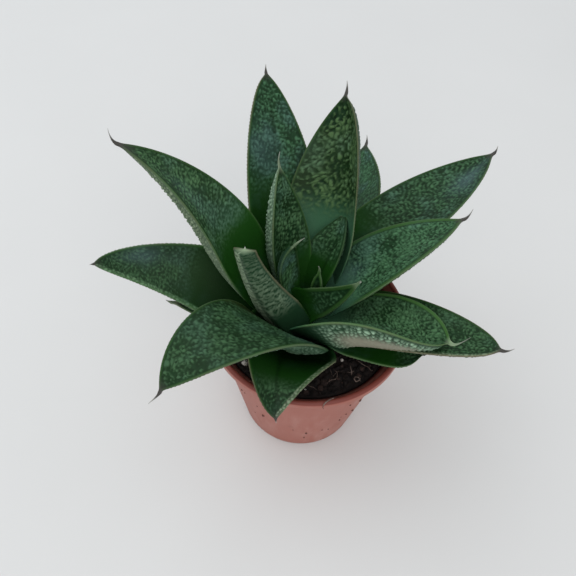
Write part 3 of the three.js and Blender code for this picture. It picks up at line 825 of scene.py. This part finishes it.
def make_leaf(number, leaf):
    rows = leaf_rows(leaf)
    columns = max(LEAST_COLUMNS, int(leaf.width / CELL / 2) * 2)
    net = leaf_net(leaf, rows, columns, TEETH_SEED + number)
    half, share = rows.half, rows.share
    across, inset, under, rim = net.across, net.inset, net.under, net.rim
    raised, tint, beads, bead_tint = patterns(number, leaf, net.wide, rows.along)
    # How fully either face is covered by tubercles
    bare = leaf.smooth - leaf.slant * across
    rough = (rows.on == 0) * smoothstep(*BLADE_HALF, half)
    rough = rough * smoothstep(bare, bare + ROUGH_FADE, share)
    upper_cover = rough * smoothstep(leaf.band, leaf.band + BAND_FADE, inset)
    under_cover = rough * smoothstep(*UNDER_INSET, inset) * smoothstep(*UNDER_HALF, half)
    blush = leaf.blush * smoothstep(*BLUSH_ACROSS, np.abs(across - leaf.keel))
    blush = blush * smoothstep(*BLUSH_LENGTH, share) * smoothstep(*BLUSH_END, share)
    under_cover = under_cover * (1 - 0.75 * blush)
    relief = np.where(under, leaf.beads * beads * under_cover, leaf.relief * raised * upper_cover)
    points = net.points + grid_normals(net.points) * np.where(rim, 0, relief)[..., None]
    # What colours the skin
    tubercle = np.where(under, bead_tint * under_cover * leaf.under_pale, tint * upper_cover)
    edge_line = np.where(rim, 0.7, 0.4 * smoothstep(*LINE_INSET, inset))
    past_base = smoothstep(*MARGIN_LENGTH, share)
    band = smoothstep(leaf.band + 0.3, leaf.band * 0.8, inset) * ~under * leaf.bright
    side, fringe = pale_bands(leaf, rows, net)
    pale_band = np.maximum(side, fringe)
    slim = min(AWN_COLOUR_HALF, AWN_COLOUR_SHARE * leaf.width)
    tip = 0.5 * smoothstep(slim, slim / 4, half) + 0.5 * smoothstep(slim / 3, slim / 7, half)
    masks = dict(
        awn=tip * (share > 0.5),
        band=band * past_base,
        base=smoothstep(bare + BASE_FADE, bare, share) * np.where(under, leaf.tan, 1),
        blush=blush * under * 0.85,
        bristle=smoothstep(0.3, 0.95, rows.on),
        dry=leaf.dry * smoothstep(*DRY_LENGTH, share),
        margin=edge_line * past_base * leaf.line,
        shade=painted_shade(leaf, rows, net) * (1 - fringe),
        sheen=painted_sheen(leaf, rows, net),
        side=pale_band * leaf.cream,
        tubercle=np.maximum(tubercle, pale_band * (0.2 + 0.75 * beads)),
        under=under,
    )
    for name in ("base_pale", "bloom", "brown", "olive", "tan", "young"):
        masks[name] = getattr(leaf, name)
    masks = {name: np.broadcast_to(values, inset.shape) for name, values in masks.items()}
    make_piece(f"blade_{number:02d}", points.reshape(-1, 3), leaf_faces(len(inset), columns), skin,
               "leaf_tissue", f"leaf_{number:02d}", masks)


for number, own in enumerate(leaf_table, start=1):
    make_leaf(number, SimpleNamespace(**{**leaf_form, **leaf_look, **own}))


# Pot

def wall_line(radius, low, high, rows):
    """Points up one face of the leaning wall, from its radius at the height low."""
    share = np.linspace(0, 1, rows)
    radii = radius + (WALL_TOP_RADIUS - BASE_RADIUS) * share
    return np.stack([radii, low + (high - low) * share], -1)


def pot_profile():
    """The pot's outline from the middle underneath over the lip to the middle of its floor."""
    wall_top = POT_HEIGHT - LIP_HEIGHT
    below = np.linspace(CENTRE_RADIUS, BASE_RADIUS - BASE_EDGE, FLOOR_ROWS)
    outer = wall_line(BASE_RADIUS, BASE_EDGE, wall_top, WALL_ROWS)
    flare = [[WALL_TOP_RADIUS + out, wall_top + up] for out, up in LIP_CURVE]
    turn = np.linspace(0, math.pi, LIP_ROWS)
    lip = np.stack([LIP_RADIUS - LIP_ROUND + LIP_ROUND * np.cos(turn),
                    POT_HEIGHT - LIP_ROUND + LIP_ROUND * np.sin(turn)], -1)
    inner = wall_line(BASE_RADIUS - WALL, FLOOR, wall_top, INNER_ROWS)[::-1]
    above = np.linspace(BASE_RADIUS - WALL - BASE_EDGE, CENTRE_RADIUS, FLOOR_ROWS)
    under, inside = [[radius, 0] for radius in below], [[radius, FLOOR] for radius in above]
    return np.concatenate([under, outer, flare, lip, inner, inside])


def drain_hole(number):
    turn = (number + 0.5) * CIRCLE / DRAIN_COUNT
    rod = [[DRAIN_RADIUS, -2 * FLOOR], [DRAIN_RADIUS, 2 * FLOOR]]
    points, faces = turned_net(rod, DRAIN_SIDES)
    return points + [DRAIN_RING * math.cos(turn), DRAIN_RING * math.sin(turn), 0], faces


points, faces = turned_net(pot_profile(), POT_SIDES)
pot = make_piece("pot_shell", points, faces, plastic, "pot_plastic", "pot")

# Drainage holes through the pot's floor, with the slivers that the cut leaves welded shut
rods = joined(drain_hole(number) for number in range(DRAIN_COUNT))
drill = new_item("drill", new_mesh("drill", *rods))
cut = pot.modifiers.new("drain", "BOOLEAN")
cut.operation = "DIFFERENCE"
cut.solver = "EXACT"
cut.object = drill
bpy.context.view_layer.update()
drilled = bpy.data.meshes.new_from_object(pot.evaluated_get(bpy.context.evaluated_depsgraph_get()))
shape = bmesh.new()
shape.from_mesh(drilled)
bmesh.ops.remove_doubles(shape, verts=shape.verts, dist=WELD * MM)
shape.to_mesh(drilled)
shape.free()
pot.modifiers.clear()
pot.data = drilled
bpy.data.objects.remove(drill)


# Soil: seed, pitch and height of each size of crumb on its top, and how far it is lowered for them
CRUMB_KINDS = [(7, 2.6, 0.9), (8, 1.1, 0.45), (9, 0.55, 0.2)]
CRUMB_SHIFT = 60
CRUMB_SINK = 0.45

edge_radius = WALL_TOP_RADIUS - WALL - GAP
hole_radius = STEM_RADIUS + GAP


def soil_height(share):
    """Height of the soil's top without crumbs, from its edge at 0 to the stem's hole at 1."""
    return SOIL_EDGE_HEIGHT + (SOIL_MIDDLE_HEIGHT - SOIL_EDGE_HEIGHT) * np.sqrt(share)


def crumb_relief(x, y):
    """Peat crumbs of several sizes on the soil's top, in millimetres."""
    total = 0
    for seed, pitch, height in CRUMB_KINDS:
        lumps, tone = spots(x + CRUMB_SHIFT, y + CRUMB_SHIFT, seed, pitch)
        total = total + height * lumps * tone
    return total - CRUMB_SINK


profile = [[SOIL_CENTRE, FLOOR + GAP], [BASE_RADIUS - WALL - GAP, FLOOR + GAP]]
for share in np.linspace(0, 1, SOIL_ROWS):
    profile.append([edge_radius + (hole_radius - edge_radius) * share, soil_height(share)])
profile += [[hole_radius, STEM_FOOT - GAP], [SOIL_CENTRE, STEM_FOOT - GAP]]
points, faces = turned_net(profile, SOIL_SIDES)
radius = np.hypot(points[:, 0], points[:, 1])
loose = smoothstep(edge_radius + EDGE_SLACK, edge_radius - WALL_CALM, radius)
loose = loose * smoothstep(hole_radius, hole_radius + HOLE_CALM, radius)
loose = loose * (points[:, 2] >= SOIL_EDGE_HEIGHT)
points[:, 2] += loose * crumb_relief(points[:, 0], points[:, 1])
make_piece("soil_bed", points, faces, peat, "peat", "soil")

# Loose lumps: the fineness of each, how far its three sizes vary and how it bulges
LUMP_DETAIL = 2
LUMP_SIZES = (0.6, 1.3)
LUMP_FLAT = 0.7
BULGES = 1.6
BULGE_DEPTH = 0.18


def ball():
    """Points and triangles of a small round mesh."""
    shape = bmesh.new()
    bmesh.ops.create_icosphere(shape, subdivisions=LUMP_DETAIL, radius=1)
    shape.verts.index_update()
    points = np.array([corner.co[:] for corner in shape.verts])
    faces = [[corner.index for corner in face.verts] for face in shape.faces]
    shape.free()
    return points, faces


def scatter_lumps(name, places, sizes, material, seed, flat=LUMP_FLAT):
    """Small lumps of uneven shape, each with its middle at its place."""
    draw = np.random.default_rng(seed)
    shape, shape_faces = ball()
    lumps = []
    for place, size in zip(places, sizes):
        stretch = draw.uniform(*LUMP_SIZES, 3) * size * np.array([1, 1, flat])
        angle = draw.uniform(0, CIRCLE)
        turn = Matrix.Rotation(angle, 3, Vector(draw.normal(size=3)).normalized())
        waves = draw.normal(size=(3, 3)) * BULGES
        bulge = 1 + BULGE_DEPTH * np.sin(shape @ waves + draw.uniform(0, 6, 3)).sum(1)
        lumps.append(((shape * bulge[:, None] * stretch) @ np.array(turn) + place, shape_faces))
    make_piece(name, *joined(lumps), material, "peat")


def soil_places(count, seed, low, high, lift):
    """Places on the soil's top between two distances from its middle, lifted a little."""
    draw = np.random.default_rng(seed)
    radius = np.sqrt(draw.uniform(low ** 2, high ** 2, count))
    turn = draw.uniform(0, CIRCLE, count)
    x, y = radius * np.cos(turn), radius * np.sin(turn)
    share = (edge_radius - radius) / (edge_radius - hole_radius)
    return np.stack([x, y, soil_height(share) + crumb_relief(x, y) + lift], -1)


size_draw = np.random.default_rng(21)


def loose_bits(name, material, count, seed, ring, lift, sizes, flat=LUMP_FLAT, large=()):
    """Lumps strewn over the soil, and a few large ones: x, y, z and size."""
    places = soil_places(count, seed, *ring, lift).tolist() + [item[:3] for item in large]
    sizes = size_draw.uniform(*sizes, count).tolist() + [item[3] for item in large]
    scatter_lumps(name, places, sizes, material, seed + 1, flat)


loose_bits("soil_crumbs", peat, 520, 31, ring=(6, 22.8), lift=0.1, sizes=(0.3, 0.95))
loose_bits("soil_bark", bark, 110, 41, ring=(6, 22.6), lift=0.2, sizes=(0.3, 0.9))
loose_bits("soil_perlite", perlite, 26, 51, ring=(8, 22.4), lift=0.25, sizes=(0.25, 0.6), flat=0.9,
           large=[(-16.2, -15.2, 43.4, 0.95), (-13.9, -17.5, 43.4, 0.85)])

# Fibres. At each step the heading turns and the climb changes by chance.
FIBRE_STEPS = 16
FIBRE_SIDES = 6
FIBRE_TURN = 0.25
FIBRE_CLIMB = (-0.06, 0.15)
FIBRE_FLAT = 0.4
FIBRE_INSET = 0.5
FIBRE_TAPER = 0.25


def thread(path, radius):
    """Points and faces of a thin round strand along a path, tapered at both ends."""
    ahead = np.gradient(path, axis=0)
    ahead /= np.linalg.norm(ahead, axis=1, keepdims=True)
    side = np.cross(ahead, [0.3, 0.2, 1])
    side /= np.linalg.norm(side, axis=1, keepdims=True)
    up = np.cross(ahead, side)
    turn = np.linspace(0, CIRCLE, FIBRE_SIDES, endpoint=False)
    slim = radius * np.sin(np.linspace(FIBRE_TAPER, math.pi - FIBRE_TAPER, len(path)))
    ring = side[:, None] * np.cos(turn)[:, None] + up[:, None] * np.sin(turn)[:, None]
    points = (path[:, None] + ring * slim[:, None, None]).reshape(-1, 3)
    return points, tube_faces(len(path), FIBRE_SIDES)


def bent_path(start, heading, length, draw):
    """A wandering path near the soil's top that stays inside the pot's wall."""
    path = [np.array(start, float)]
    turn, climb = heading, draw.uniform(-0.1, 0.4)
    for _ in range(FIBRE_STEPS - 1):
        turn += draw.normal(0, FIBRE_TURN)
        climb += draw.normal(*FIBRE_CLIMB)
        step = np.array([math.cos(turn), math.sin(turn), math.sin(climb) * FIBRE_FLAT])
        path.append(path[-1] + step * length / FIBRE_STEPS)
    path = np.array(path)
    radius = np.hypot(path[:, 0], path[:, 1])
    path[:, :2] *= np.minimum(1, (edge_radius - FIBRE_INSET) / radius)[:, None]
    return path


draw = np.random.default_rng(61)
strands = []
for place in soil_places(70, 62, 6, 22.5, 0.35):
    path = bent_path(place, draw.uniform(0, CIRCLE), draw.uniform(3, 9), draw)
    strands.append(thread(path, draw.uniform(0.05, 0.13)))
# One pale fibre that curls over the lip, and a tangled one by the wall
over_lip = [
    [8.1, -24.0, 44.0], [7.6, -24.6, 45.4], [6.7, -25.4, 46.2], [5.6, -26.2, 46.3],
    [4.9, -27.0, 46.2], [4.6, -27.6, 45.7], [4.9, -27.8, 45.0],
]
tangle = [
    [14.6, -17.2, 43.4], [14.2, -18.4, 44.2], [13.2, -19.2, 44.6], [12.6, -18.6, 44.8],
    [13.0, -17.8, 44.7], [13.9, -17.7, 44.3], [14.4, -18.6, 43.8],
]
for marks in (over_lip, tangle):
    strands.append(thread(drawn_through(marks, count=30), radius=0.16))
make_piece("soil_fibres", *joined(strands), fibre, "peat")

# Specks of soil on the pot's wall: azimuth in degrees, height and size
specks = [
    (-139.6, 27.1, 0.36), (-135.6, 27.8, 0.32), (-130.4, 15.9, 0.24), (-120.6, 19.6, 0.4),
    (-124.5, 25.1, 0.28), (-55.4, 31.1, 0.4), (-45.1, 20.3, 0.44), (-52.1, 21.2, 0.32),
    (-43.0, 27.3, 0.48), (-54.9, 36.7, 0.28), (-56.8, 21.1, 0.24), (-56.9, 18.2, 0.36),
    (-64.0, 12.5, 0.24), (-70.1, 13.8, 0.36), (-83.7, 13.0, 0.4), (-84.5, 8.4, 0.24),
    (-95.0, 15.6, 0.2), (35, 20, 0.32), (80, 30, 0.28), (120, 12, 0.36), (160, 24, 0.24),
]


def on_wall(azimuth, height):
    share = (height - BASE_EDGE) / (POT_HEIGHT - LIP_HEIGHT)
    radius = BASE_RADIUS + (WALL_TOP_RADIUS - BASE_RADIUS) * share
    turn = math.radians(azimuth)
    return [radius * math.cos(turn), radius * math.sin(turn), height]


speck_places = [on_wall(azimuth, height) for azimuth, height, _ in specks]
scatter_lumps("wall_specks", speck_places, [size for _, _, size in specks], smear, 71, flat=1)


# Stem, with shallow ribs that wind a little as they climb
stem_marks = [
    [CENTRE_RADIUS, STEM_FOOT], [STEM_RADIUS * STEM_SLIM, STEM_FOOT],
    [STEM_RADIUS, STEM_FOOT + STEM_RADIUS], [STEM_RADIUS, STEM_SHOULDER],
    [STEM_RADIUS * STEM_SLIM, STEM_TOP - STEM_BEVEL], [STEM_RADIUS * CROWN_SLIM, STEM_TOP],
    [CENTRE_RADIUS, STEM_TOP],
]
points, faces = turned_net(drawn_through(stem_marks, STEM_ROWS), STEM_SIDES)
turn = np.arctan2(points[:, 1], points[:, 0])
shrink = 1 - RIB_DEPTH * (1 + np.sin(STEM_RIBS * turn + points[:, 2])) / 2
points[:, :2] *= shrink[:, None]
make_piece("stem_core", points, faces, crown, "stem_tissue", "stem")


# Table top, light and camera

TOP_HALF = 4000
corners = [(x * TOP_HALF, y * TOP_HALF, 0) for x, y in ((-1, -1), (1, -1), (1, 1), (-1, 1))]
floor = new_item("table_top", new_mesh("table_top", corners, [(0, 1, 2, 3)]))
s = Shader("pale_top", roughness=0.6, specular=0.3)
pale_top = s.finish(s.mix(s.noise(60), (0.615, 0.617, 0.610), (0.645, 0.647, 0.640)))
floor.data.materials.append(pale_top)

world = bpy.data.worlds.new("studio")
bpy.context.scene.world = world
world.use_nodes = True
background = world.node_tree.nodes["Background"]
background.inputs["Color"].default_value = (0.95, 0.97, 1.0, 1)
background.inputs["Strength"].default_value = 0.82


def soft_light(name, place, size, power, colour):
    """A square lamp that faces the origin."""
    lamp = bpy.data.lights.new(name, "AREA")
    lamp.shape = "SQUARE"
    lamp.size = size
    lamp.energy = power
    lamp.color = colour
    item = new_item(name, lamp)
    item.location = place
    item.rotation_mode = "QUATERNION"
    item.rotation_quaternion = (-Vector(place)).to_track_quat("-Z", "Y")


soft_light("window", (-0.55, 0.3, 1.0), size=1.2, power=4.7, colour=(0.93, 0.98, 1.0))
soft_light("room", (0.1, -0.8, 0.8), size=0.9, power=4.0, colour=(1.0, 0.965, 0.93))

view_settings = bpy.context.scene.view_settings
view_settings.view_transform = "Standard"
view_settings.look = "None"

camera_data = bpy.data.cameras.new("camera")
camera_data.lens = LENS
camera_data.sensor_width = SENSOR
camera_data.clip_start = CLIP_START
camera = new_item("camera", camera_data)
pitch, tilt = math.radians(CAMERA_PITCH), math.radians(CAMERA_ROLL)
ahead = Vector((0, math.cos(pitch), -math.sin(pitch)))
level_right = Vector((1, 0, 0))
level_up = Vector((0, math.sin(pitch), math.cos(pitch)))
right = level_right * math.cos(tilt) + level_up * math.sin(tilt)
up = level_up * math.cos(tilt) - level_right * math.sin(tilt)
facing = Matrix((right, up, -ahead)).transposed().to_4x4()
camera.matrix_world = Matrix.Translation(Vector(CAMERA_PLACE) * MM) @ facing
bpy.context.scene.camera = camera
